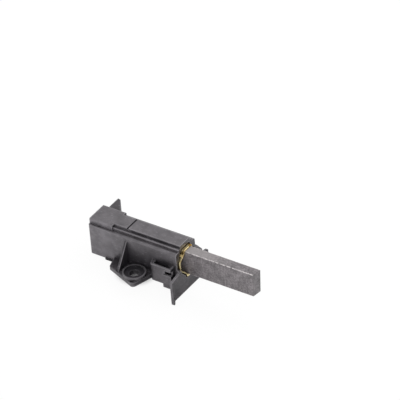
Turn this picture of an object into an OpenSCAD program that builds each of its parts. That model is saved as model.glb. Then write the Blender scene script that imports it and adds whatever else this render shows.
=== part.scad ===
// Carbon brush in its moulded holder, as used on a small universal motor.
// X runs along the brush and out of the mouth, Z points up through the raised panel.
// The origin lies midway between the two screw holes, on the seat of the ears.

/* [Housing] */
// Length of the box from its rear end to the mouth
body_length = 49; // [46:0.5:52]
// Distance from the origin to the mouth
mouth_x = 18; // [17:0.5:19]
// Half width of the box at the mouth
body_half_width = 7.75; // [7.7:0.05:8.2]
// Half width of the box at its rear end, which is less by the draft
rear_half_width = 7.25; // [7.2:0.05:7.6]
// Height of the raised panel above the ear seat
panel_z = 18.5; // [18.4:0.1:19]
// Height of the underside, a little below the ear seat
floor_z = -0.5; // [-0.8:0.1:-0.4]
// Half width of the panel between the two ledges
panel_half_width = 3.95; // [3.6:0.05:4.2]
// Half width of the wider panel at the rear
wide_half_width = 5.9; // [5.6:0.1:6.2]
// Length of the box that carries the wider panel
wide_length = 12.7; // [11:0.1:14]

/* [Screw ears] */
// Distance between the two screw holes across the box
hole_across = 27.4; // [27:0.1:28.4]
// Distance of each hole from the origin along the box, since the far one sits further forward
hole_shift = 2.05; // [1.8:0.05:2.4]
// Diameter of a screw hole
hole_d = 4.8; // [4:0.1:5.2]
// Thickness of an ear
ear_thickness = 2; // [1.8:0.1:2.4]
// Outer diameter of the collar round a screw hole
collar_d = 11.2; // [10.8:0.1:11.6]
// Inner diameter of the collar
collar_bore = 9.7; // [9.2:0.1:10]
// Height of the collar above the ear seat
collar_z = 3.5; // [3.2:0.1:4.2]
// Height of the floor inside the collar, on which the screw head sits
collar_floor = 2.6; // [2:0.1:2.9]

/* [Front wing] */
// Reach of the wing on the near side of the middle plane
wing_near = 15.4; // [14.8:0.1:16]
// Reach of the wing on the far side, which is a little less
wing_far = 14.5; // [14:0.1:15.4]
// Thickness of the wing above its crease
wing_thickness = 1.2; // [1:0.1:1.6]
// Depth of the wing below the ear seat
wing_drop = 5; // [4.5:0.1:6]

/* [Guide sleeve] */
// Thickness of the folded brass sheet
sheet = 0.6; // [0.5:0.05:0.6]
// Half width of the sleeve where its sides bow out round the spring
sleeve_half_width = 6.3; // [6.2:0.05:6.4]

/* [Brush] */
// Thickness of the carbon
brush_thickness = 5; // [4.8:0.1:5.1]
// Height of the carbon
brush_height = 12.5; // [12.3:0.1:12.6]
// Length of the carbon, with its nose
brush_length = 44; // [44:0.5:48]
// Height of the middle of the carbon above the ear seat
brush_z = 8.85; // [8.8:0.05:8.9]
// How far the tip stands out of the mouth when the brush is fully out
brush_reach = 38.6; // [37:0.2:39]

/* [Spring] */
// Outer diameter of the coil spring
spring_d = 9.2; // [8.6:0.1:9.4]
// Diameter of the spring wire
wire_d = 0.7; // [0.6:0.05:0.8]
// Number of turns
spring_turns = 8; // [7:1:9]

/* [Hidden] */
$fn = 48;
rear_x = mouth_x - body_length;
overlap = 0.5;
fit_gap = 0.1;
run_gap = 0.15;

// Returns a vector of length one along v
function unit(v) = v / norm(v);

// Rounds the corner q between its neighbours p and n with radius r, as a short arc
arc_steps = 5;
function corner(p, q, n, r) =
    let (a = unit(p - q), b = unit(n - q), half = acos(a * b) / 2)
    let (c = q + unit(a + b) * r / sin(half), s = q + a * r / tan(half), e = q + b * r / tan(half))
    let (from = atan2(s[1] - c[1], s[0] - c[0]), to = atan2(e[1] - c[1], e[0] - c[0]))
    let (sweep = (to - from + 540) % 360 - 180)
    [for (i = [0 : arc_steps]) c + r * [cos(from + sweep * i / arc_steps), sin(from + sweep * i / arc_steps)]];

// An outline from rows of [x, y, radius]; a radius of 0 leaves the corner sharp
function rounded(rows) =
    let (last = len(rows) - 1)
    [for (i = [0 : last])
        let (p = rows[i == 0 ? last : i - 1], q = rows[i], n = rows[i == last ? 0 : i + 1])
        each q[2] == 0
            ? [[q[0], q[1]]]
            : corner([p[0], p[1]], [q[0], q[1]], [n[0], n[1]], q[2])];

// The same rows on the other side of the middle plane, in the order that closes the outline
function mirrored(rows) = [for (i = [len(rows) - 1 : -1 : 0]) [-rows[i][0], rows[i][1], rows[i][2]]];

// Carries a Y-Z outline along X
module along_x(x0, x1) {
    translate([x0, 0, 0])
        rotate([90, 0, 90])
            linear_extrude(x1 - x0)
                children();
}

// Carries an X-Z outline along Y
module along_y(y0, y1) {
    translate([0, y1, 0])
        rotate([90, 0, 0])
            linear_extrude(y1 - y0)
                children();
}

// Carries an X-Y outline upwards
module along_z(z0, z1) {
    translate([0, 0, z0])
        linear_extrude(z1 - z0)
            children();
}

// Section of the box

shoulder_z = panel_z - 2.6;
ledge_z = panel_z - 1.3;
ledge_half_width = 5.4;
edge_r = 1.2;

// Right half of the section in front, where a ledge and a lower shoulder run beside the panel
front_half = [
    [body_half_width, floor_z, 0.5],
    [body_half_width, shoulder_z, edge_r],
    [ledge_half_width, shoulder_z, 0],
    [ledge_half_width, ledge_z, 0.25],
    [panel_half_width, ledge_z, 0],
    [panel_half_width, panel_z, 0.25]
];

// Right half of the section at the rear, under the wider panel
rear_half = [
    [body_half_width, floor_z, 0.5],
    [body_half_width, shoulder_z, edge_r],
    [wide_half_width, shoulder_z, 0],
    [wide_half_width, panel_z, 0.5]
];

module body_block() {
    intersection() {
        union() {
            along_x(rear_x + wide_length, mouth_x)
                polygon(rounded(concat(front_half, mirrored(front_half))));
            along_x(rear_x, rear_x + wide_length)
                polygon(rounded(concat(rear_half, mirrored(rear_half))));
        }
        along_z(floor_z - 1, panel_z + 1)
            polygon(rounded([
                [rear_x, -rear_half_width, 0.8],
                [mouth_x, -body_half_width, 0],
                [mouth_x, body_half_width, 0],
                [rear_x, rear_half_width, 0.8]
            ]));
    }
}

// Section of the guide

brush_top = brush_z + brush_height / 2;
brush_bottom = brush_z - brush_height / 2;
hug_half_width = brush_thickness / 2 + run_gap + sheet;
foot_half_width = hug_half_width + 0.35;
sleeve_top = brush_top + run_gap + sheet;
sleeve_bottom = brush_bottom - run_gap - sheet;
hug_top_z = sleeve_top - 2.05;
hug_bottom_z = sleeve_bottom + 1.45;
bend_r = sheet;

// The sheet hugs the carbon at its top and bottom and bows out between them, at 45 degrees.
// grow moves the whole outline outwards, and shift is how far a slanted bend moves with it.
function guide_half(grow) =
    let (shift = grow * tan(22.5))
    let (low = sleeve_half_width - foot_half_width, high = sleeve_half_width - hug_half_width)
    [
        [foot_half_width + grow, sleeve_bottom - grow, bend_r + grow],
        [foot_half_width + grow, hug_bottom_z - shift, 0.8],
        [sleeve_half_width + grow, hug_bottom_z + low - shift, 1.6],
        [sleeve_half_width + grow, hug_top_z - high + shift, 1.6],
        [hug_half_width + grow, hug_top_z + shift, 0.8],
        [hug_half_width + grow, sleeve_top + grow, bend_r + grow]
    ];

module guide_outline(grow) {
    polygon(rounded(concat(guide_half(grow), mirrored(guide_half(grow)))));
}

// Front edge of the sleeve, which slants forward towards the floor
sleeve_front_top = mouth_x + 1.5;
sleeve_front_side = mouth_x + 0.9;
sleeve_front_bottom = mouth_x + 2.5;

// Tab cut from the rim and folded back outside the sleeve, at the top of the upper near slope
tab_inner = 0.3;
tab_outer = 1.5;
tab_length = 3.3;
tab_rise = 1.1;
tab_front = sleeve_front_side;
tab_foot = 0.8;
tab_room = 0.4;

// Places its children at the top of that slope, with Y along it and Z straight out of the sheet
module slope_frame() {
    translate([0, -hug_half_width, hug_top_z])
        rotate([45, 0, 0])
            children();
}

// Housing

guide_back_x = rear_x + 10.5;
mouth_depth = 7;
mouth_gap = 0.65;
socket_wall = 1.5;
socket_half_width = 5.2;
socket_bottom = 3.4;
socket_top = 14.3;
blade_width = 6.3;
blade_thickness = 0.8;

// Screw ears beside the box, each with a collar round its hole. The far ear sits further forward.
ear_root = 7;
near_hole = [-hole_shift, -hole_across / 2];
far_hole = [hole_shift, hole_across / 2];
near_ear = [
    [-17.5, -ear_root, 0],
    [-16.4, -11.5, 0],
    [-15.6, -14.2, 0.8],
    [1.5, -20.8, 1.7],
    [4.7, -11, 0],
    [6.2, -ear_root, 0]
];
far_ear = [
    [11.2, ear_root, 0],
    [10.6, 10.4, 0],
    [9.8, 16.4, 1],
    [-3.2, 21.7, 1.7],
    [-11.2, ear_root, 0]
];

// Shallow pocket in the tip of the near ear, up against the collar; the far ear has the same,
// turned half round
tip_pocket = [
    [-3.4, -18.45, 0.2],
    [0.2, -19.85, 0.7],
    [1.3, -18, 0.2],
    [-1, -17, 0]
];
pocket_depth = 1;
far_tip_shift = [-1.9, 0.9, 0];

module ear(outline, hole) {
    along_z(0, ear_thickness)
        polygon(rounded(outline));
    along_z(0, collar_z)
        intersection() {
            polygon(rounded(outline));
            translate(hole)
                circle(d = collar_d);
        }
}

module tip_cut() {
    along_z(ear_thickness - pocket_depth, ear_thickness + overlap)
        difference() {
            polygon(rounded(tip_pocket));
            translate(near_hole)
                circle(d = collar_d);
        }
}

module ear_holes() {
    for (hole = [near_hole, far_hole])
        translate([hole[0], hole[1], 0]) {
            translate([0, 0, collar_floor])
                cylinder(d = collar_bore, h = collar_z);
            translate([0, 0, -overlap])
                cylinder(d = hole_d, h = collar_floor + 2 * overlap);
        }
}

// Three-cornered web that stiffens an ear against the side of the box
near_web_x = -10.6;
far_web_x = -5;
web_thickness = 1.2;
web_top = 14.1;
web_reach = 15.8;

module web(x, side) {
    along_x(x, x + web_thickness)
        polygon([
            [side * ear_root, 0],
            [side * web_reach, 0],
            [side * web_reach, ear_thickness],
            [side * (ear_root + 0.4), web_top],
            [side * ear_root, web_top]
        ]);
}

// Small foot under the near side of the box, behind the ear
rear_foot = [-22.5, -18];
rear_foot_y = 7.9;
rear_foot_z = [-1, 0.2];

// Block on each side behind the wing: a thin outer wall with an open channel between it and the box,
// a notch with a narrow tail from the front edge into the wall, and a foot below
block_y = 10.9;
block_wall = 0.8;
block_x0 = 4.1;
block_x1 = 16.5;
block_top = 9;
block_bottom = -0.3;
channel_x = [6.1, 15.6];
channel_floor = 3;
notch_x = 13.2;
notch_z = [5.1, 7.3];
notch_tail_x = 12.2;
notch_tail_z = 5.7;
notch_depth = 1.6;
foot_x = 11.7;
foot_bottom = -2.3;
foot_top = 0.5;

// On the far side the block runs on to the wing and slopes down to this height
ramp_z = 7.8;

module side_block() {
    difference() {
        along_z(block_bottom, block_top)
            polygon(rounded([
                [block_x0, -ear_root, 0],
                [block_x0 + 1.2, -block_y, 1.2],
                [block_x1, -block_y, 0.3],
                [block_x1, -ear_root, 0]
            ]));
        along_z(channel_floor, block_top + overlap)
            polygon(rounded([
                [channel_x[0], -ear_root + overlap, 0],
                [channel_x[0] + 0.6, -block_y + block_wall, 0.7],
                [channel_x[1], -block_y + block_wall, 0],
                [channel_x[1], -ear_root + overlap, 0]
            ]));
        along_y(-block_y - overlap, -block_y + notch_depth)
            polygon([
                [notch_tail_x, notch_z[0]],
                [block_x1 + overlap, notch_z[0]],
                [block_x1 + overlap, notch_z[1]],
                [notch_x, notch_z[1]],
                [notch_x, notch_tail_z],
                [notch_tail_x, notch_tail_z]
            ]);
    }
    translate([foot_x, -block_y, foot_bottom])
        cube([mouth_x + 1 - foot_x, block_y - ear_root, foot_top - foot_bottom]);
}

module far_ramp() {
    along_y(ear_root, block_y)
        polygon([
            [channel_x[1], foot_top],
            [wing_x + overlap, foot_top],
            [wing_x + overlap, ramp_z],
            [block_x1, block_top],
            [channel_x[1], block_top]
        ]);
}

// Plate across the mouth, hanging below the ears. Below its crease it leans forward a little.
wing_x = mouth_x + 0.9;
wing_top_outer = 5.4;
wing_top_inner = 7.1;
tip_drop = 1.9;
tip_width = 1.1;
crease_z = -0.5;
wing_lean = 0.25;

// Half of the wing's outline, out to the given reach
function wing_half(reach) = [
    [reach - tip_width - 0.1, -wing_drop, 0.3],
    [reach - tip_width + 0.2, -wing_drop - tip_drop, 0.3],
    [reach, -wing_drop - tip_drop, 0.3],
    [reach, wing_top_outer, 0.5],
    [body_half_width, wing_top_inner, 0]
];

module wing() {
    front = wing_x + wing_thickness;
    intersection() {
        along_x(wing_x, front + 1)
            polygon(rounded(concat(wing_half(wing_far), mirrored(wing_half(wing_near)))));
        along_y(-wing_near - 1, wing_far + 1)
            polygon([
                [wing_x - 1, -wing_drop - tip_drop - 1],
                [front + wing_lean, -wing_drop - tip_drop - 1],
                [front + wing_lean, -wing_drop],
                [front, crease_z],
                [front, wing_top_inner + 1],
                [wing_x - 1, wing_top_inner + 1]
            ]);
    }
    translate([mouth_x - overlap, -block_y, foot_bottom])
        cube([wing_x - mouth_x + 2 * overlap, 2 * block_y, foot_top - foot_bottom]);
    along_x(mouth_x - overlap, wing_x + overlap)
        polygon([
            [-body_half_width, floor_z],
            [body_half_width, floor_z],
            [body_half_width, wing_top_inner],
            [-body_half_width, wing_top_inner]
        ]);
}

// Hollow three-cornered fin at the rear, on the side away from the first ear
fin_top = panel_z - 2.7;
fin_bottom = fin_top - 6.7;
fin_wall = 1.1;
fin_outline = [
    [rear_x + 1, rear_half_width - 1, 0],
    [rear_x + 1, 16, 0.3],
    [rear_x + 2.6, 15.5, 0.3],
    [rear_x + 9.2, rear_half_width - 1, 0]
];
fin_core = [
    [rear_x + 1 + fin_wall, rear_half_width, 0],
    [rear_x + 1 + fin_wall, 14.2, 0.2],
    [rear_x + 7, rear_half_width, 0]
];

module fin() {
    difference() {
        along_z(fin_bottom, fin_top)
            polygon(rounded(fin_outline));
        along_z(fin_bottom - overlap, fin_top - fin_wall)
            polygon(rounded(fin_core));
    }
}

// Thin line across the panel, where two mould slides meet
seam_x = -11.1;
seam_width = 0.35;
seam_depth = 0.3;

// Shallow pockets that keep the floor of the box from growing too thick
pocket_floor = floor_z + 1;
pocket_half_width = 5.4;

module floor_pocket(x0, x1) {
    along_z(floor_z - overlap, pocket_floor)
        polygon(rounded([
            [x0, -pocket_half_width, 0.8],
            [x1, -pocket_half_width, 0.8],
            [x1, pocket_half_width, 0.8],
            [x0, pocket_half_width, 0.8]
        ]));
}

module housing() {
    color("#2b2b2d")
        difference() {
            union() {
                body_block();
                wing();
                fin();
                ear(near_ear, near_hole);
                ear(far_ear, far_hole);
                web(near_web_x, -1);
                web(far_web_x, 1);
                translate([rear_foot[0], -rear_foot_y, rear_foot_z[0]])
                    cube([rear_foot[1] - rear_foot[0], 1.5, rear_foot_z[1] - rear_foot_z[0]]);
                side_block();
                mirror([0, 1, 0])
                    side_block();
                far_ramp();
            }
            ear_holes();
            tip_cut();
            translate(far_tip_shift)
                rotate([0, 0, 180])
                    tip_cut();
            along_x(guide_back_x, mouth_x)
                guide_outline(fit_gap);
            along_x(mouth_x - mouth_depth, mouth_x + 5)
                guide_outline(mouth_gap);
            slope_frame()
                translate([tab_front - tab_length - tab_room, -tab_outer - tab_room, -overlap])
                    cube([tab_length + 5, tab_outer + 2 * tab_room, tab_rise + tab_room + overlap]);
            along_x(rear_x - overlap, guide_back_x - socket_wall)
                polygon(rounded([
                    [-socket_half_width, socket_bottom, 0.6],
                    [socket_half_width, socket_bottom, 0.6],
                    [socket_half_width, socket_top, 0.6],
                    [-socket_half_width, socket_top, 0.6]
                ]));
            translate([rear_x, -blade_thickness / 2 - fit_gap / 2, brush_z - blade_width / 2 - fit_gap / 2])
                cube([body_length / 2, blade_thickness + fit_gap, blade_width + fit_gap]);
            translate([seam_x, -panel_half_width - overlap, panel_z - seam_depth])
                cube([seam_width, 2 * panel_half_width + 2 * overlap, 1]);
            floor_pocket(-18.5, -3);
            floor_pocket(-1, 15.5);
        }
}

// Guide sleeve

seam_gap = 0.3;

module fold_tab() {
    slope_frame()
        along_y(-tab_outer, -tab_inner)
            polygon([
                [tab_front - tab_foot, -sheet / 2],
                [tab_front, -sheet / 2],
                [tab_front, sheet / 2],
                [tab_front - tab_length, tab_rise],
                [tab_front - tab_length - 0.2, tab_rise - sheet + 0.1],
                [tab_front - tab_foot, 0.05]
            ]);
}

module guide_sleeve() {
    color("#c9a24a") {
        fold_tab();
        difference() {
            along_x(guide_back_x, mouth_x + 4)
                difference() {
                    guide_outline(0);
                    guide_outline(-sheet);
                }
            along_y(-10, 10)
                polygon([
                    [sleeve_front_top, sleeve_top + 1],
                    [sleeve_front_top, sleeve_top - 1],
                    [sleeve_front_side, sleeve_top - 5],
                    [sleeve_front_side, sleeve_bottom + 5],
                    [sleeve_front_bottom, sleeve_bottom + 1],
                    [sleeve_front_bottom, sleeve_bottom - 1],
                    [mouth_x + 6, sleeve_bottom - 1],
                    [mouth_x + 6, sleeve_top + 1]
                ]);
            translate([guide_back_x - 1, -seam_gap / 2, sleeve_bottom - 1])
                cube([body_length, seam_gap, 1 + 2 * sheet]);
        }
    }
}

// Terminal: a seat for the spring with the blade that runs back into the socket

seat_thickness = 0.8;
seat_half_width = 5.2;
seat_half_height = 5.6;
seat_slope_z = 1.6;
seat_neck_width = 2.3;
seat_neck_z = 4.4;
blade_back_x = rear_x + 1.6;

module terminal() {
    color("#c8b070") {
        along_x(guide_back_x, guide_back_x + seat_thickness)
            translate([0, brush_z])
                for (side = [-1, 1])
                    scale([1, side])
                        polygon([
                            [-seat_half_width, -0.01],
                            [-seat_half_width, seat_slope_z],
                            [-seat_neck_width, seat_neck_z],
                            [-seat_neck_width, seat_half_height],
                            [seat_neck_width, seat_half_height],
                            [seat_neck_width, seat_neck_z],
                            [seat_half_width, seat_slope_z],
                            [seat_half_width, -0.01]
                        ]);
        along_y(-blade_thickness / 2, blade_thickness / 2)
            polygon([
                [guide_back_x + seat_thickness / 2, brush_z - blade_width / 2],
                [guide_back_x + seat_thickness / 2, brush_z + blade_width / 2],
                [blade_back_x + 1, brush_z + blade_width / 2],
                [blade_back_x, brush_z + blade_width / 2 - 1],
                [blade_back_x, brush_z - blade_width / 2 + 1],
                [blade_back_x + 1, brush_z - blade_width / 2]
            ]);
    }
}

// Carbon brush

tip_x = mouth_x + brush_reach;
nose_length = 2;
nose_half_height = 2.7;
tip_slant = 0.7;
tip_rake = 0.8;
shunt_hole_d = 2;
shunt_hole_depth = 5;
brush_rear_x = tip_x - brush_length;

// Cuts the end at a slant, with its far side and its top a little ahead
module end_cut() {
    translate([tip_x, 0, brush_z])
        rotate([0, atan(tip_rake / brush_height), -atan(tip_slant / brush_thickness)])
            translate([0, -brush_height, -brush_height])
                cube([brush_height, 2 * brush_height, 2 * brush_height]);
}

module carbon_brush() {
    half = brush_thickness / 2;
    color("#4a4849")
        difference() {
            intersection() {
                along_x(brush_rear_x, tip_x + 1)
                    polygon(rounded([
                        [-half, brush_bottom, 0.25],
                        [half, brush_bottom, 0.25],
                        [half, brush_top, 0.25],
                        [-half, brush_top, 0.25]
                    ]));
                along_y(-half, half)
                    polygon([
                        [brush_rear_x, brush_z - nose_half_height],
                        [brush_rear_x + nose_length, brush_z - nose_half_height],
                        [brush_rear_x + nose_length, brush_bottom],
                        [tip_x + 1, brush_bottom],
                        [tip_x + 1, brush_top],
                        [brush_rear_x + nose_length, brush_top],
                        [brush_rear_x + nose_length, brush_z + nose_half_height],
                        [brush_rear_x, brush_z + nose_half_height]
                    ]);
            }
            translate([brush_rear_x - overlap, 0, brush_z])
                rotate([0, 90, 0])
                    cylinder(d = shunt_hole_d, h = shunt_hole_depth + overlap);
            end_cut();
        }
}

// Coil spring between the terminal and the shoulders of the carbon

spring_x0 = guide_back_x + seat_thickness + 0.05;
spring_x1 = brush_rear_x + nose_length - 0.05;
wire_sides = 8;
turn_steps = 16;

// A tube round a path of points: rings of wire_sides points, closed at both ends
function ring(p, d, r) =
    let (t = unit(d), u = unit(cross(t, [0.2, 0.4, 1])), v = cross(t, u))
    [for (k = [0 : wire_sides - 1])
        p + r * (cos(360 * k / wire_sides) * u + sin(360 * k / wire_sides) * v)];

module tube(path, r) {
    last = len(path) - 1;
    points = [for (i = [0 : last])
        each ring(path[i], path[min(i + 1, last)] - path[max(i - 1, 0)], r)];
    sides = [for (i = [0 : last - 1]) for (k = [0 : wire_sides - 1])
        let (a = i * wire_sides + k, b = i * wire_sides + (k + 1) % wire_sides)
        [a, b, b + wire_sides, a + wire_sides]];
    ends = [
        [for (k = [wire_sides - 1 : -1 : 0]) k],
        [for (k = [0 : wire_sides - 1]) last * wire_sides + k]
    ];
    polyhedron(points, concat(sides, ends));
}

// The end turns lie flat and the turns between them rise evenly
function rise(turn) = max(0, min(1, (turn - 1) / (spring_turns - 2)));

module brush_spring() {
    mean_r = (spring_d - wire_d) / 2;
    low = spring_x0 + wire_d / 2;
    high = spring_x1 - wire_d / 2;
    path = [for (i = [0 : spring_turns * turn_steps])
        let (turn = i / turn_steps, a = 360 * turn)
        let (lead = wire_d * 1.05 * (min(turn, 1) + max(turn - spring_turns + 1, 0)))
        let (span = high - low - 2.1 * wire_d)
        [low + lead + rise(turn) * span, mean_r * cos(a), brush_z + mean_r * sin(a)]];
    color("#9a9a98")
        tube(path, wire_d / 2);
}

// Copper braid from the seat of the terminal to the hole in the carbon. It hangs in waves,
// since it has to reach further out as the carbon wears, and ends straight in the hole.

braid_d = 1.5;
braid_x0 = guide_back_x + seat_thickness + 0.02;
braid_x1 = brush_rear_x + shunt_hole_depth - 0.5;
braid_steps = 28;
braid_wave = 1.3;

module braid() {
    span = brush_rear_x - braid_x0;
    path = concat(
        [for (i = [0 : braid_steps])
            let (t = i / braid_steps, swell = sin(180 * t))
            [braid_x0 + t * span, braid_wave * swell * sin(720 * t), brush_z + 0.8 * swell * sin(540 * t)]],
        [[braid_x1, 0, brush_z]]
    );
    color("#b5713f")
        tube(path, braid_d / 2);
}

housing();
guide_sleeve();
terminal();
carbon_brush();
brush_spring();
braid();
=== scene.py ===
import bpy
import numpy as np
from mathutils import Matrix, Vector


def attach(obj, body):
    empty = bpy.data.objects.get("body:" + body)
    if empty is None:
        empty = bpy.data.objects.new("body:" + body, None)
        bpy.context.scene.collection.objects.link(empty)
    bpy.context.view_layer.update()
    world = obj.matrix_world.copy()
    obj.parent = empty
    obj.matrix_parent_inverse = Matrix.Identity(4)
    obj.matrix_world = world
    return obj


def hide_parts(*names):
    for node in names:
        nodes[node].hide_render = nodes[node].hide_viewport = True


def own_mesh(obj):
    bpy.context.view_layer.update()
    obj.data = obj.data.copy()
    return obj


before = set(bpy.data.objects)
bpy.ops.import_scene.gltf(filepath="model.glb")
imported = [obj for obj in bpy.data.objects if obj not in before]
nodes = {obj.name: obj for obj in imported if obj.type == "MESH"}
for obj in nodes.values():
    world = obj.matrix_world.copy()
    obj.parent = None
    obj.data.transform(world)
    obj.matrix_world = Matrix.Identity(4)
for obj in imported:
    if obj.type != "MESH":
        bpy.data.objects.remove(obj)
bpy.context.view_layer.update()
mm = 0.001
noiseSpan = (0.35, 0.65)   # a noise texture stays mostly between these


def hexColour(code):
    # sRGB hex to linear RGBA: below 0.04045 the curve is straight, above it a power of 2.4
    parts = [int(code[i:i + 2], 16) / 255 for i in (1, 3, 5)]
    return [p / 12.92 if p <= 0.04045 else ((p + 0.055) / 1.055) ** 2.4 for p in parts] + [1.0]


def addNode(tree, kind, links=None, values=None, **settings):
    # adds one node, sets its settings and socket values, and links sockets into it
    node = tree.nodes.new(kind)
    for key, value in settings.items():
        setattr(node, key, value)
    for key, value in (values or {}).items():
        node.inputs[key].default_value = value
    for key, socket in (links or {}).items():
        tree.links.new(socket, node.inputs[key])
    return node


def newMaterial(name):
    material = bpy.data.materials.new(name)
    material.use_nodes = True
    material.node_tree.nodes.clear()
    return material, material.node_tree


def twoTone(tree, socket, span, colours):
    # the first colour up to the start of the span, the second from its end on, and an even change between them
    share = addNode(tree, "ShaderNodeMapRange", {"Value": socket}, {"From Min": span[0], "From Max": span[1]})
    first, second = [hexColour(code) for code in colours]
    mixed = addNode(tree, "ShaderNodeMix", {0: share.outputs[0]}, {"A": first, "B": second}, data_type="RGBA")
    return mixed.outputs["Result"]


studio = {
    "cameraAt": (1208.725, -1578.285, 1510.152),     # mm, from the fit of the photograph
    "right": (0.829861, 0.553257, -0.072371),
    "up": (-0.283397, 0.529661, 0.799466),
    "forward": (-0.480642, 0.642936, -0.596336),
    "lens": 488.87,                                  # mm
    "sensor": 36.0,                                  # mm
    "clipAt": 20.0,                                  # m, past the far side of the floor
    "floorNormal": (0.084395, 0.003752, 0.996425),   # the object lies nose up on its wing
    "floorReach": 3.0,                               # m, from its middle to each side
    "floorColour": "#f8f8f8",
    "worldStrength": 1.0,                            # 1 is white
    "keyAt": (0.2, 0.6, 0.8),                        # m, high and a little behind: the near ear lies in shade
    "keySize": 0.8,                                  # m
    "keyPower": 3.5,                                 # W
    "shadeAt": (-7.5, -5.5),                         # mm, x and y of the paper that shows in the screw hole
    "shadeReach": (4.5, 11.0),                       # mm, all real shading within the first, none past the second
    "plainShare": 0.94,                              # how plain the rest of the paper looks
}


def placeCamera(s):
    data = bpy.data.cameras.new("camera")
    camera = bpy.data.objects.new("camera", data)
    bpy.context.scene.collection.objects.link(camera)
    axes = [Vector(s["right"]), Vector(s["up"]), -Vector(s["forward"])]
    turn = Matrix(axes).transposed().to_4x4()
    camera.matrix_world = Matrix.Translation(Vector(s["cameraAt"]) * mm) @ turn
    data.lens = s["lens"]
    data.sensor_width = s["sensor"]
    data.clip_end = s["clipAt"]
    bpy.context.scene.camera = camera


def backdropPaper(s, shadeAt):
    # pale paper: to the camera mostly plain white with a little of the real shading, but all of the real
    # shading under the screw hole, through which it shows
    material, tree = newMaterial("paleBackdropPaper")
    place = addNode(tree, "ShaderNodeTexCoord").outputs["Object"]
    away = addNode(tree, "ShaderNodeVectorMath", {0: place}, {1: shadeAt}, operation="DISTANCE")
    near, far = [reach * mm for reach in s["shadeReach"]]
    plain = addNode(
        tree, "ShaderNodeMapRange", {"Value": away.outputs["Value"]},
        {"From Min": near, "From Max": far, "To Max": s["plainShare"]}, interpolation_type="SMOOTHSTEP")
    path = addNode(tree, "ShaderNodeLightPath")
    share = addNode(
        tree, "ShaderNodeMath", {0: path.outputs["Is Camera Ray"], 1: plain.outputs[0]}, operation="MULTIPLY")
    paper = addNode(tree, "ShaderNodeBsdfDiffuse", values={"Color": hexColour(s["floorColour"])})
    white = addNode(tree, "ShaderNodeEmission", values={"Color": (1, 1, 1, 1), "Strength": 1.0})
    mixed = addNode(
        tree, "ShaderNodeMixShader", {0: share.outputs[0], 1: paper.outputs[0], 2: white.outputs[0]})
    addNode(tree, "ShaderNodeOutputMaterial", {"Surface": mixed.outputs[0]})
    return material


def makeFloor(s):
    # a wide flat square at right angles to floorNormal, through the lowest point of the object
    normal = Vector(s["floorNormal"]).normalized()
    points = np.vstack([[v.co for v in node.data.vertices] for node in nodes.values()])
    lowest = float((points @ np.array(normal)).min())
    side = normal.cross(Vector((0, 1, 0))).normalized() * s["floorReach"]
    other = normal.cross(side)
    corners = [normal * lowest + side * a + other * b for a, b in ((-1, -1), (-1, 1), (1, 1), (1, -1))]
    mesh = bpy.data.meshes.new("floor")
    mesh.from_pydata([tuple(c) for c in corners], [], [(0, 1, 2, 3)])
    if mesh.polygons[0].normal.dot(normal) < 0:
        mesh.flip_normals()
    floor = bpy.data.objects.new("floor", mesh)
    bpy.context.scene.collection.objects.link(floor)
    x, y = [c * mm for c in s["shadeAt"]]
    z = (lowest - normal.x * x - normal.y * y) / normal.z
    mesh.materials.append(backdropPaper(s, (x, y, z)))


def makeWorld(s):
    world = bpy.data.worlds.new("lightTent")
    bpy.context.scene.world = world
    world.use_nodes = True
    tree = world.node_tree
    tree.nodes.clear()
    light = addNode(
        tree, "ShaderNodeBackground", values={"Color": (1, 1, 1, 1), "Strength": s["worldStrength"]})
    addNode(tree, "ShaderNodeOutputWorld", {"Surface": light.outputs[0]})


def makeKey(s):
    # a weak round softbox that points at the origin
    data = bpy.data.lights.new("keyLight", "AREA")
    data.shape = "DISK"
    data.size = s["keySize"]
    data.energy = s["keyPower"]
    light = bpy.data.objects.new("keyLight", data)
    bpy.context.scene.collection.objects.link(light)
    light.location = s["keyAt"]
    light.rotation_euler = (-Vector(s["keyAt"])).to_track_quat("-Z", "Y").to_euler()


placeCamera(studio)
makeFloor(studio)
makeWorld(studio)
makeKey(studio)
bpy.context.scene.view_settings.view_transform = "Standard"
print("stage: camera, floor and light")


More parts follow.
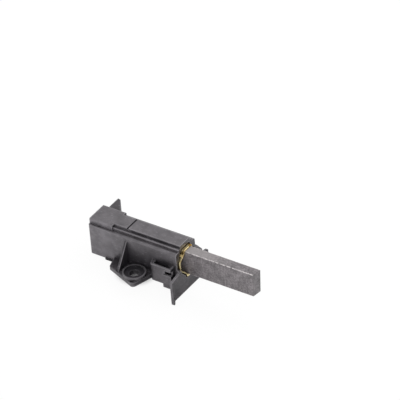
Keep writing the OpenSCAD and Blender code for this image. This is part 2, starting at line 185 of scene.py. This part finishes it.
housingLook = {
    "low": "#1d1c1f",
    "high": "#29272b",
    "toneSpan": (0.35, 0.68),
    "ior": 1.75,                  # above the resin's own 1.53, matched to how strongly the skin mirrors
    "sheen": "#fff8fe",           # it reflects very slightly violet
    "roughness": (0.34, 0.48),
    "grainSize": 0.35,            # mm, the eroded skin of the mould, drawn twice as coarse as it is
    "grainSpan": (0.3, 0.7),
    "grainHeight": 0.012,         # mm
    "grainStrength": 0.35,
    "edge": 0.15,                 # mm, the small radius that moulding leaves on every edge
    "cloudSize": 5.0,             # mm across a patch of slightly more or less shiny skin
    "cloudShare": (0.70, 1.0),
    "streaks": (0.30, 6.0, 6.0),  # how often they change per mm along X, Y and Z
    "streakShare": (0.85, 1.02),
    # pale grey of the dust specks and scuffs, and of the painted light on the near side
    "dustAndPaintedLight": "#77757a",
    "speckEvery": 2.2,            # mm
    "speckSize": 0.4,             # mm
    "scuffs": (0.25, 1.1, 1.1),   # cells per mm along X, Y and Z
    "scuffSize": 0.16,            # half its width, in cells
    "markShare": 0.8,
    "paintedLightFilm": (-6.0, -17.0, 0.42),  # mm along X where the painted light on the near side begins and is full, and its share
    "paintedLightFaces": (-0.5, -0.9),    # how far towards -Y a face has to look
    "frontShadeShare": 0.45,               # painted shade: share of the shine left on the faces that look towards the commutator
    "frontShadeFaces": (0.6, 0.95),   # how far towards +X a face has to look
    "farSideShade": (7.6, 8.6, 0.43),  # painted shade: mm along Y over which the shine falls, and the share that the far side has
    # pale grey of the outer edges, partly wear and partly a painted highlight
    "rim": "#8a888c",
    "rimWidth": 0.7,              # mm, outer edges drawn pale: partly wear from handling, partly a painted highlight
    "rimSpan": (0.98, 0.72),      # share of free inward rays where the pale rim begins and where it is full
    "rimHighlightShare": 0.45,
    "seatAt": (2.05, 13.7),       # mm, x and y of the far screw hole; the near one lies opposite
    "seatRadius": (4.7, 5.0),     # mm, painted shade: the shine is lowered round each screw hole
    "seatShadeShare": 0.45,
    # places of painted shade, where the shine is lowered: x, y and z, each from, to and soft over (mm), and the
    # share of the shine that is left
    "paintedShadePlaces": [
        ((-11.3, -10.55, 0.15), (-4.1, 4.1, 0.1), (18.1, 18.6, 0.1), 0.05),  # the seam across the panel
        ((-8.8, 18.0, 0.2), (-4.1, -3.93, 0.06), (17.2, 18.3, 0.1), 0.35),   # the wall beside the panel
        ((-22.6, -17.9, 0.1), (-8.0, -6.2, 0.2), (-1.1, -0.5, 0.1), 0.10),   # under the rear foot
        ((-22.6, -17.9, 0.1), (-8.0, -7.6, 0.1), (-1.1, 0.25, 0.1), 0.10),   # and beside it
        ((-10.2, 4.0, 0.8), (-8.2, -7.2, 0.3), (-1.0, 4.0, 7.0), 0.55),      # the side above the near ear
        ((-11.3, -9.9, 0.2), (-17.0, -7.6, 0.2), (2.0, 16.0, 0.2), 0.35),    # the near web
        ((-17.5, 6.5, 0.2), (-21.0, -7.5, 0.2), (0.9, 3.6, 0.1), 0.65),      # the near ear and its collar
        ((18.7, 20.6, 0.2), (-16.0, -14.8, 0.2), (-7.0, 6.0, 0.2), 0.8),     # the near edge of the wing
    ],
}


def within(tree, socket, low, high, soft):
    # 1 from low to high (mm), falling to 0 over the next soft mm at both ends
    half = (high - low) / 2
    offset = addNode(tree, "ShaderNodeMath", {0: socket}, {1: (low + high) / 2 * mm}, operation="SUBTRACT")
    away = addNode(tree, "ShaderNodeMath", {0: offset.outputs[0]}, operation="ABSOLUTE")
    return addNode(
        tree, "ShaderNodeMapRange", {"Value": away.outputs[0]},
        {"From Min": half * mm, "From Max": (half + soft) * mm, "To Min": 1.0, "To Max": 0.0}).outputs[0]


def paintedShadePlaces(tree, where, places):
    # product over the places of 1 - (1 - share) * inside, where inside is the product of within on each axis
    shares = []
    for *ranges, share in places:
        alongX, alongY, alongZ = [within(tree, where[axis], *reach) for axis, reach in zip("XYZ", ranges)]
        inside = addNode(tree, "ShaderNodeMath", {0: alongX, 1: alongY}, operation="MULTIPLY")
        inside = addNode(tree, "ShaderNodeMath", {0: inside.outputs[0], 1: alongZ}, operation="MULTIPLY")
        left = addNode(
            tree, "ShaderNodeMath", {0: inside.outputs[0]}, {1: share - 1, 2: 1.0}, operation="MULTIPLY_ADD")
        shares.append(left.outputs[0])
    product = shares[0]
    for share in shares[1:]:
        product = addNode(tree, "ShaderNodeMath", {0: product, 1: share}, operation="MULTIPLY").outputs[0]
    return product


def paintedSeatShade(tree, where, s):
    # painted shade round each screw hole: seatShadeShare inside the first seatRadius from its axis and 1 outside
    # the second
    shares = []
    flat = addNode(tree, "ShaderNodeCombineXYZ", {"X": where["X"], "Y": where["Y"]})
    for side in (1, -1):
        middle = [side * c * mm for c in s["seatAt"]] + [0]
        away = addNode(tree, "ShaderNodeVectorMath", {0: flat.outputs[0]}, {1: middle}, operation="DISTANCE")
        clear = addNode(
            tree, "ShaderNodeMapRange", {"Value": away.outputs["Value"]},
            {"From Min": s["seatRadius"][0] * mm, "From Max": s["seatRadius"][1] * mm,
             "To Min": s["seatShadeShare"], "To Max": 1.0})
        shares.append(clear.outputs[0])
    return shares


def mouldedHousing(s):
    # glass-filled polyamide, injection moulded: satin black with a fine eroded skin, so its look is mostly its
    # reflection, which painted shade lowers in places; painted light pales the near side towards the rear, and
    # the outer edges are paler, partly from wear and partly as a painted highlight
    material, tree = newMaterial("glassFilledPolyamide")
    coords = addNode(tree, "ShaderNodeTexCoord").outputs
    place = coords["Object"]
    where = addNode(tree, "ShaderNodeSeparateXYZ", {"Vector": place}).outputs
    facing = addNode(tree, "ShaderNodeSeparateXYZ", {"Vector": coords["Normal"]}).outputs
    cloud = addNode(
        tree, "ShaderNodeTexNoise", {"Vector": place},
        {"Scale": 1000 / s["cloudSize"], "Detail": 4.0, "Roughness": 0.6}).outputs["Fac"]
    grain = addNode(
        tree, "ShaderNodeTexNoise", {"Vector": place},
        {"Scale": 1000 / s["grainSize"], "Detail": 2.0}).outputs["Fac"]
    tone = twoTone(tree, cloud, s["toneSpan"], (s["low"], s["high"]))
    # dust specks and short scuffs along X: middles of Voronoi cells, round ones and long ones
    speck = addNode(tree, "ShaderNodeTexVoronoi", {"Vector": place}, {"Scale": 1000 / s["speckEvery"]})
    isSpeck = addNode(
        tree, "ShaderNodeMath", {0: speck.outputs["Distance"]},
        {1: s["speckSize"] / s["speckEvery"] / 2}, operation="LESS_THAN")
    cells = addNode(tree, "ShaderNodeMapping", {"Vector": place}, {"Scale": [n / mm for n in s["scuffs"]]})
    scuff = addNode(tree, "ShaderNodeTexVoronoi", {"Vector": cells.outputs[0]}, {"Scale": 1.0})
    isScuff = addNode(
        tree, "ShaderNodeMath", {0: scuff.outputs["Distance"]}, {1: s["scuffSize"]}, operation="LESS_THAN")
    either = addNode(
        tree, "ShaderNodeMath", {0: isSpeck.outputs[0], 1: isScuff.outputs[0]}, operation="MAXIMUM")
    uneven = addNode(tree, "ShaderNodeMath", {0: either.outputs[0], 1: cloud}, operation="MULTIPLY")
    mark = addNode(tree, "ShaderNodeMath", {0: uneven.outputs[0]}, {1: s["markShare"]}, operation="MULTIPLY")
    marked = addNode(
        tree, "ShaderNodeMix", {0: mark.outputs[0], "A": tone}, {"B": hexColour(s["dustAndPaintedLight"])}, data_type="RGBA")
    # painted light: a patchy paler film on faces looking towards -Y, towards the rear, in place of more
    # reflection of the bright floor, but not in the places of painted shade
    outward = addNode(
        tree, "ShaderNodeMapRange", {"Value": facing["Y"]},
        {"From Min": s["paintedLightFaces"][0], "From Max": s["paintedLightFaces"][1], "To Max": s["paintedLightFilm"][2]})
    behind = addNode(
        tree, "ShaderNodeMapRange", {"Value": where["X"]},
        {"From Min": s["paintedLightFilm"][0] * mm, "From Max": s["paintedLightFilm"][1] * mm})
    # painted shade: the shine is lowered in the listed places
    paintedShadeLeft = paintedShadePlaces(tree, where, s["paintedShadePlaces"])
    paintedLightFilm = paintedShadeLeft
    for share in (outward.outputs[0], behind.outputs[0], cloud):
        paintedLightFilm = addNode(tree, "ShaderNodeMath", {0: paintedLightFilm, 1: share}, operation="MULTIPLY").outputs[0]
    withPaintedLight = addNode(
        tree, "ShaderNodeMix", {0: paintedLightFilm, "A": marked.outputs["Result"]}, {"B": hexColour(s["dustAndPaintedLight"])},
        data_type="RGBA")
    # the shine is a product of shares: painted shade on the faces looking to the front, patches, streaks along X,
    # painted shade on the far side, in the painted shade places and round the screw holes
    paintedFrontShade = addNode(
        tree, "ShaderNodeMapRange", {"Value": facing["X"]},
        {"From Min": s["frontShadeFaces"][0], "From Max": s["frontShadeFaces"][1],
         "To Min": 1.0, "To Max": s["frontShadeShare"]})
    patchy = addNode(
        tree, "ShaderNodeMapRange", {"Value": cloud},
        {"From Min": noiseSpan[0], "From Max": noiseSpan[1],
         "To Min": s["cloudShare"][0], "To Max": s["cloudShare"][1]})
    along = addNode(tree, "ShaderNodeMapping", {"Vector": place}, {"Scale": [n / mm for n in s["streaks"]]})
    streak = addNode(tree, "ShaderNodeTexNoise", {"Vector": along.outputs[0]}, {"Scale": 1.0, "Detail": 2.0})
    drawn = addNode(
        tree, "ShaderNodeMapRange", {"Value": streak.outputs["Fac"]},
        {"From Min": noiseSpan[0], "From Max": noiseSpan[1],
         "To Min": s["streakShare"][0], "To Max": s["streakShare"][1]})
    # painted shade: the far side reflects less
    far = addNode(
        tree, "ShaderNodeMapRange", {"Value": where["Y"]},
        {"From Min": s["farSideShade"][0] * mm, "From Max": s["farSideShade"][1] * mm,
         "To Min": 1.0, "To Max": s["farSideShade"][2]})
    shares = [node.outputs[0] for node in (paintedFrontShade, patchy, drawn, far)] + paintedSeatShade(tree, where, s)
    shine = paintedShadeLeft
    for share in shares:
        shine = addNode(tree, "ShaderNodeMath", {0: shine, 1: share}, operation="MULTIPLY").outputs[0]
    # painted highlight, partly wear: outer edges drawn paler where rays that go inwards from near an outer edge
    # soon meet the next face
    inward = addNode(
        tree, "ShaderNodeAmbientOcclusion", values={"Distance": s["rimWidth"] * mm}, samples=12, inside=True)
    rim = addNode(
        tree, "ShaderNodeMapRange", {"Value": inward.outputs["AO"]},
        {"From Min": s["rimSpan"][0], "From Max": s["rimSpan"][1], "To Max": s["rimHighlightShare"]})
    paintedPale = addNode(tree, "ShaderNodeMath", {0: rim.outputs[0], 1: shine}, operation="MULTIPLY")
    colour = addNode(
        tree, "ShaderNodeMix", {0: paintedPale.outputs[0], "A": withPaintedLight.outputs["Result"]},
        {"B": hexColour(s["rim"])}, data_type="RGBA")
    gloss = addNode(
        tree, "ShaderNodeMapRange", {"Value": grain},
        {"From Min": s["grainSpan"][0], "From Max": s["grainSpan"][1],
         "To Min": s["roughness"][0], "To Max": s["roughness"][1]})
    edge = addNode(tree, "ShaderNodeBevel", values={"Radius": s["edge"] * mm}, samples=4)
    bump = addNode(
        tree, "ShaderNodeBump", {"Height": grain, "Normal": edge.outputs[0]},
        {"Strength": s["grainStrength"], "Distance": s["grainHeight"] * mm})
    shader = addNode(
        tree, "ShaderNodeBsdfPrincipled",
        {"Base Color": colour.outputs["Result"], "Roughness": gloss.outputs[0], "Normal": bump.outputs[0],
         "Specular IOR Level": shine},
        {"IOR": s["ior"], "Specular Tint": hexColour(s["sheen"])})
    addNode(tree, "ShaderNodeOutputMaterial", {"Surface": shader.outputs[0]})
    return material


sleeveLook = {
    "clean": "#ffefbb",
    "stained": "#8f6c26",
    "stainSpan": (0.33, 0.56),
    "stainSize": 3.0,          # mm
    "roughness": (0.27, 0.42),
    "edge": 0.3,               # mm, the cut edge is fully rounded
}


def brassSheet(s):
    # CuZn37 strip, stamped and folded: pale yellow satin metal, brown and duller in patches
    material, tree = newMaterial("stampedBrassStrip")
    place = addNode(tree, "ShaderNodeTexCoord").outputs["Object"]
    stain = addNode(
        tree, "ShaderNodeTexNoise", {"Vector": place},
        {"Scale": 1000 / s["stainSize"], "Detail": 3.0}).outputs["Fac"]
    tone = twoTone(tree, stain, s["stainSpan"], (s["stained"], s["clean"]))
    gloss = addNode(
        tree, "ShaderNodeMapRange", {"Value": stain},
        {"From Min": noiseSpan[0], "From Max": noiseSpan[1],
         "To Min": s["roughness"][1], "To Max": s["roughness"][0]})
    edge = addNode(tree, "ShaderNodeBevel", values={"Radius": s["edge"] * mm}, samples=16)
    shader = addNode(
        tree, "ShaderNodeBsdfPrincipled",
        {"Base Color": tone, "Roughness": gloss.outputs[0], "Normal": edge.outputs[0]}, {"Metallic": 1.0})
    addNode(tree, "ShaderNodeOutputMaterial", {"Surface": shader.outputs[0]})
    return material


carbonLook = {
    "dark": "#4e4a4c",
    "light": "#817b7e",
    "toneSpan": (0.38, 0.62),
    "ior": 1.6,
    "roughness": 0.55,
    "grit": 0.9,                 # mm, pressed graphite grains and pores, drawn coarser than they are
    "gritHeight": 0.02,          # mm
    "gritStrength": 0.4,
    "patch": 3.5,                # mm
    "patchShare": 0.35,
    "marks": (1.6, 1.6, 0.15),   # grinding marks: how often they change per mm along X, Y and Z
    "marksShare": (0.86, 1.10),
    "endFaces": (0.5, 0.9),      # how far towards +X a face has to look to count as the running face
    "endShadeShare": 0.72,            # which is drawn darker as painted shade
    "edge": 0.35,                # mm
    # painted highlight, partly wear, along the long edges
    "wornAndHighlit": "#dcd6d6",
    "wornLean": (0.06, 0.25),    # rounded normal's Y times Z where the bright edge begins and where it is full
    "wornGrit": (0.36, 0.60),    # the grit breaks it up
    # painted light: the top and bottom drawn paler near the mouth
    "paintedPale": "#8f8a8a",
    "paintedLightOver": (22.0, 46.0),  # mm along X over which the painted light on the top and bottom fades out
    "paintedLightShare": 0.75,
}


def carbonGraphite(s):
    # pressed electrographite, ground on all faces: dull warm grey with pores, with a painted highlight, partly
    # wear, along its long edges, painted light on its top and bottom near the mouth and painted shade on its
    # running face
    material, tree = newMaterial("groundElectrographite")
    coords = addNode(tree, "ShaderNodeTexCoord").outputs
    place = coords["Object"]
    where = addNode(tree, "ShaderNodeSeparateXYZ", {"Vector": place}).outputs
    facing = addNode(tree, "ShaderNodeSeparateXYZ", {"Vector": coords["Normal"]}).outputs
    grit = addNode(
        tree, "ShaderNodeTexNoise", {"Vector": place},
        {"Scale": 1000 / s["grit"], "Detail": 3.0, "Roughness": 0.7}).outputs["Fac"]
    patch = addNode(tree, "ShaderNodeTexNoise", {"Vector": place}, {"Scale": 1000 / s["patch"], "Detail": 3.0})
    both = addNode(
        tree, "ShaderNodeMix", {"A": grit, "B": patch.outputs["Fac"]}, {0: s["patchShare"]}, data_type="FLOAT")
    pressed = twoTone(tree, both.outputs["Result"], s["toneSpan"], (s["dark"], s["light"]))
    along = addNode(tree, "ShaderNodeMapping", {"Vector": place}, {"Scale": [n / mm for n in s["marks"]]})
    mark = addNode(tree, "ShaderNodeTexNoise", {"Vector": along.outputs[0]}, {"Scale": 1.0, "Detail": 2.0})
    ground = addNode(
        tree, "ShaderNodeMapRange", {"Value": mark.outputs["Fac"]},
        {"From Min": noiseSpan[0], "From Max": noiseSpan[1],
         "To Min": s["marksShare"][0], "To Max": s["marksShare"][1]})
    # painted shade on the running face
    paintedEndShade = addNode(
        tree, "ShaderNodeMapRange", {"Value": facing["X"]},
        {"From Min": s["endFaces"][0], "From Max": s["endFaces"][1], "To Min": 1.0, "To Max": s["endShadeShare"]})
    shade = addNode(tree, "ShaderNodeMath", {0: ground.outputs[0], 1: paintedEndShade.outputs[0]}, operation="MULTIPLY")
    tone = addNode(tree, "ShaderNodeVectorMath", {0: pressed, "Scale": shade.outputs[0]}, operation="SCALE")
    # painted light: the top and the bottom are drawn paler near the mouth, fading out towards the tip
    upright = addNode(tree, "ShaderNodeMath", {0: facing["Z"]}, operation="ABSOLUTE")
    fade = addNode(
        tree, "ShaderNodeMapRange", {"Value": where["X"]},
        {"From Min": s["paintedLightOver"][0] * mm, "From Max": s["paintedLightOver"][1] * mm,
         "To Min": s["paintedLightShare"], "To Max": 0.0})
    paintedTopLight = addNode(tree, "ShaderNodeMath", {0: upright.outputs[0], 1: fade.outputs[0]}, operation="MULTIPLY")
    withTopLight = addNode(
        tree, "ShaderNodeMix", {0: paintedTopLight.outputs[0], "A": tone.outputs["Vector"]},
        {"B": hexColour(s["paintedPale"])}, data_type="RGBA")
    # painted highlight, partly wear, on the long edges: there the rounded normal has both a Y and a Z part
    edge = addNode(tree, "ShaderNodeBevel", values={"Radius": s["edge"] * mm}, samples=8)
    lean = addNode(tree, "ShaderNodeSeparateXYZ", {"Vector": edge.outputs[0]})
    turned = addNode(tree, "ShaderNodeMath", {0: lean.outputs["Y"], 1: lean.outputs["Z"]}, operation="MULTIPLY")
    turned = addNode(tree, "ShaderNodeMath", {0: turned.outputs[0]}, operation="ABSOLUTE")
    onEdge = addNode(
        tree, "ShaderNodeMapRange", {"Value": turned.outputs[0]},
        {"From Min": s["wornLean"][0], "From Max": s["wornLean"][1]})
    broken = addNode(
        tree, "ShaderNodeMapRange", {"Value": grit},
        {"From Min": s["wornGrit"][0], "From Max": s["wornGrit"][1]})
    edgeWearAndHighlight = addNode(tree, "ShaderNodeMath", {0: onEdge.outputs[0], 1: broken.outputs[0]}, operation="MULTIPLY")
    colour = addNode(
        tree, "ShaderNodeMix", {0: edgeWearAndHighlight.outputs[0], "A": withTopLight.outputs["Result"]},
        {"B": hexColour(s["wornAndHighlit"])}, data_type="RGBA")
    bump = addNode(
        tree, "ShaderNodeBump", {"Height": grit, "Normal": edge.outputs[0]},
        {"Strength": s["gritStrength"], "Distance": s["gritHeight"] * mm})
    shader = addNode(
        tree, "ShaderNodeBsdfPrincipled", {"Base Color": colour.outputs["Result"], "Normal": bump.outputs[0]},
        {"Roughness": s["roughness"], "IOR": s["ior"]})
    addNode(tree, "ShaderNodeOutputMaterial", {"Surface": shader.outputs[0]})
    return material


terminalLook = {
    "tin": "#cfcabb",
    "bare": "#bda566",
    "bareSpan": (0.3, 0.5),
    "patch": 2.5,        # mm
    "roughness": 0.3,
    "edge": 0.1,         # mm
}


def tinnedBrass(s):
    # tinned brass strip: pale grey metal that lets a little yellow through
    material, tree = newMaterial("tinnedBrassStrip")
    place = addNode(tree, "ShaderNodeTexCoord").outputs["Object"]
    patch = addNode(tree, "ShaderNodeTexNoise", {"Vector": place}, {"Scale": 1000 / s["patch"], "Detail": 4.0})
    tone = twoTone(tree, patch.outputs["Fac"], s["bareSpan"], (s["bare"], s["tin"]))
    edge = addNode(tree, "ShaderNodeBevel", values={"Radius": s["edge"] * mm}, samples=4)
    shader = addNode(
        tree, "ShaderNodeBsdfPrincipled", {"Base Color": tone, "Normal": edge.outputs[0]},
        {"Metallic": 1.0, "Roughness": s["roughness"]})
    addNode(tree, "ShaderNodeOutputMaterial", {"Surface": shader.outputs[0]})
    return material


def dress(name, material):
    mesh = nodes[name].data
    mesh.materials.clear()
    mesh.materials.append(material)


dress("housing", mouldedHousing(housingLook))
dress("guide_sleeve", brassSheet(sleeveLook))
dress("carbon_brush", carbonGraphite(carbonLook))
dress("terminal", tinnedBrass(terminalLook))
print("stage: finishes of the moulding, sleeve, carbon and terminal")


def tubeMesh(name, path, radius, turns):
    # A tube: point (i, k) is path[i] plus radius[i, k] along the k-th direction round the path.
    # The first direction is at right angles to the path and to a fixed hint, the others follow from it.
    count, around = radius.shape
    ahead = np.gradient(path, axis=0)
    ahead /= np.linalg.norm(ahead, axis=1)[:, None]
    hint = np.array([0.2, 0.4, 1.0])   # neither wire runs along it
    first = np.cross(ahead, hint)
    first /= np.linalg.norm(first, axis=1)[:, None]
    second = np.cross(ahead, first)
    angle = (2 * np.pi * np.arange(around) / around)[None, :, None]
    ring = np.cos(angle) * first[:, None, :] + np.sin(angle) * second[:, None, :]
    points = (path[:, None, :] + radius[:, :, None] * ring).reshape(-1, 3)
    points = np.vstack([points, path[0], path[-1]])
    i, k = np.meshgrid(np.arange(count - 1), np.arange(around), indexing="ij")
    this, after = i * around + k, i * around + (k + 1) % around
    quads = np.stack([this, after, after + around, this + around], axis=-1).reshape(-1, 4)
    rim = np.arange(around)
    nextRim, last = (rim + 1) % around, (count - 1) * around
    start = np.stack([np.full(around, count * around), nextRim, rim], axis=-1)
    finish = np.stack([np.full(around, count * around + 1), last + rim, last + nextRim], axis=-1)
    mesh = bpy.data.meshes.new(name)
    mesh.from_pydata(points.tolist(), [], quads.tolist() + start.tolist() + finish.tolist())
    mesh.polygons.foreach_set("use_smooth", np.ones(len(mesh.polygons), dtype=bool))
    # u runs once round the wire and v along it, in turns of the coil or of a strand
    loops = np.empty(len(mesh.loops), dtype=np.int32)
    mesh.loops.foreach_get("vertex_index", loops)
    uv = np.zeros((len(loops), 2))
    onWall = loops < count * around
    uv[onWall, 0] = (loops[onWall] % around) / around
    uv[onWall, 1] = (loops[onWall] // around) / (count - 1) * turns
    layer = mesh.uv_layers.new(name="wire")
    layer.data.foreach_set("uv", uv.astype(np.float32).ravel())
    mesh.update()
    piece = bpy.data.objects.new(name, mesh)
    bpy.context.scene.collection.objects.link(piece)
    return piece


coilSpring = {
    "start": -19.65, "end": 14.55,     # mm, from the seat of the terminal to the shoulder of the carbon
    "height": 8.85,                    # mm
    "outer": 9.2, "wire": 0.7,         # mm
    "turns": 8,
    "endPitch": 1.05,                  # wires that each end turn advances
    "samples": (40, 12),               # points to a turn and round the wire
    "keep": 0.1813,                    # length with the carbon fully in, as a share of that at rest
    "oiled": "#77777a",
    "bright": "#a9a9ac",
    "oilChanges": (1.6, 36.0, 1.0),    # how often round the wire and in a turn of the coil
    "roughness": 0.28,
}


def springSteel(s):
    # drawn music wire: bright grey, darker where a film of oil lies on it
    material, tree = newMaterial("drawnMusicWire")
    uv = addNode(tree, "ShaderNodeTexCoord").outputs["UV"]
    stretched = addNode(tree, "ShaderNodeMapping", {"Vector": uv}, {"Scale": s["oilChanges"]})
    oil = addNode(tree, "ShaderNodeTexNoise", {"Vector": stretched.outputs[0]}, {"Scale": 1.0, "Detail": 2.0})
    tone = twoTone(tree, oil.outputs["Fac"], noiseSpan, (s["oiled"], s["bright"]))
    shader = addNode(
        tree, "ShaderNodeBsdfPrincipled", {"Base Color": tone}, {"Metallic": 1.0, "Roughness": s["roughness"]})
    addNode(tree, "ShaderNodeOutputMaterial", {"Surface": shader.outputs[0]})
    return material


def makeSpring(s):
    # x rises by endPitch wires over each end turn and evenly over the turns between them,
    # and y and z follow a circle of radius (outer - wire) / 2
    perTurn, around = s["samples"]
    samples = s["turns"] * perTurn + 1
    turn = np.linspace(0, s["turns"], samples)
    radius = (s["outer"] - s["wire"]) / 2
    endLead = s["wire"] * s["endPitch"]
    low, high = s["start"] + s["wire"] / 2, s["end"] - s["wire"] / 2
    lead = endLead * (np.minimum(turn, 1) + np.maximum(turn - s["turns"] + 1, 0))
    share = np.clip((turn - 1) / (s["turns"] - 2), 0, 1)
    x = low + lead + share * (high - low - 2 * endLead)
    angle = 2 * np.pi * turn
    path = np.stack([x, radius * np.cos(angle), s["height"] + radius * np.sin(angle)], axis=1) * mm
    piece = tubeMesh("coilSpring", path, np.full((samples, around), s["wire"] / 2 * mm), s["turns"])
    piece.data.materials.append(springSteel(s))
    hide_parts("brush_spring")
    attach(piece, "holder")
    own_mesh(piece)


copperShunt = {
    "start": -19.68, "mouth": 12.6, "end": 17.1,   # mm, seat, rear face of the carbon, bottom of its hole
    "height": 8.85,                                # mm
    "diameter": 1.5, "wave": 1.3, "rise": 0.8,     # mm
    "strands": 8, "lay": 9.6,                      # strands each way round, and mm along for one turn of each
    "hollowDepth": 0.14,                           # how deep the hollows are, as a share of the radius
    "samples": (420, 50, 48),                      # points along the free length, in the hole and round it
    "keep": 0.133,                                 # length with the carbon fully in, as a share of that at rest
    "brown": "#5a3220",
    "red": "#c98254",
    "redFrom": 0.75,                               # how far out of the hollows, from 0 to 1
    "roughness": 0.36,
}


def copperBraid(s):
    # bare copper strands, braided: warm red metal, browner in the hollows between strands
    material, tree = newMaterial("braidedCopperStrand")
    depth = addNode(tree, "ShaderNodeAttribute", attribute_name="hollow")
    tone = twoTone(tree, depth.outputs["Fac"], (0.0, s["redFrom"]), (s["brown"], s["red"]))
    shader = addNode(
        tree, "ShaderNodeBsdfPrincipled", {"Base Color": tone}, {"Metallic": 1.0, "Roughness": s["roughness"]})
    addNode(tree, "ShaderNodeOutputMaterial", {"Surface": shader.outputs[0]})
    return material


def makeBraid(s):
    # y = wave sin(pi t) sin(4 pi t) and z = rise sin(pi t) sin(3 pi t) over the free length, then straight into
    # the hole; the radius rises and falls where strands that run both ways round cross each other
    freeCount, holeCount, around = s["samples"]
    t = np.linspace(0, 1, freeCount)
    swell = np.sin(np.pi * t)
    free = np.stack([
        s["start"] + t * (s["mouth"] - s["start"]),
        s["wave"] * swell * np.sin(4 * np.pi * t),
        s["height"] + s["rise"] * swell * np.sin(3 * np.pi * t)], axis=1)
    hole = np.zeros((holeCount, 3)) + (0, 0, s["height"])
    hole[:, 0] = np.linspace(s["mouth"], s["end"], holeCount)
    path = np.vstack([free, hole[1:]])
    along = np.concatenate([[0], np.cumsum(np.linalg.norm(np.diff(path, axis=0), axis=1))])
    angle = 2 * np.pi * np.arange(around)[None, :] / around
    turned = 2 * np.pi * along[:, None] / s["lay"]
    half = s["strands"] / 2
    weave = np.abs(np.cos(half * (angle + turned)) * np.cos(half * (angle - turned)))
    radius = s["diameter"] / 2 * (1 - s["hollowDepth"] * (1 - weave))
    piece = tubeMesh("copperShunt", path * mm, radius * mm, along[-1] / s["lay"])
    hollow = np.append(weave.ravel(), [0.5, 0.5]).astype(np.float32)   # last come the middles of the ends
    piece.data.attributes.new("hollow", "FLOAT", "POINT").data.foreach_set("value", hollow)
    piece.data.materials.append(copperBraid(s))
    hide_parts("braid")
    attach(piece, "holder")
    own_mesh(piece)


makeSpring(coilSpring)
makeBraid(copperShunt)
print("stage: spring and braid")
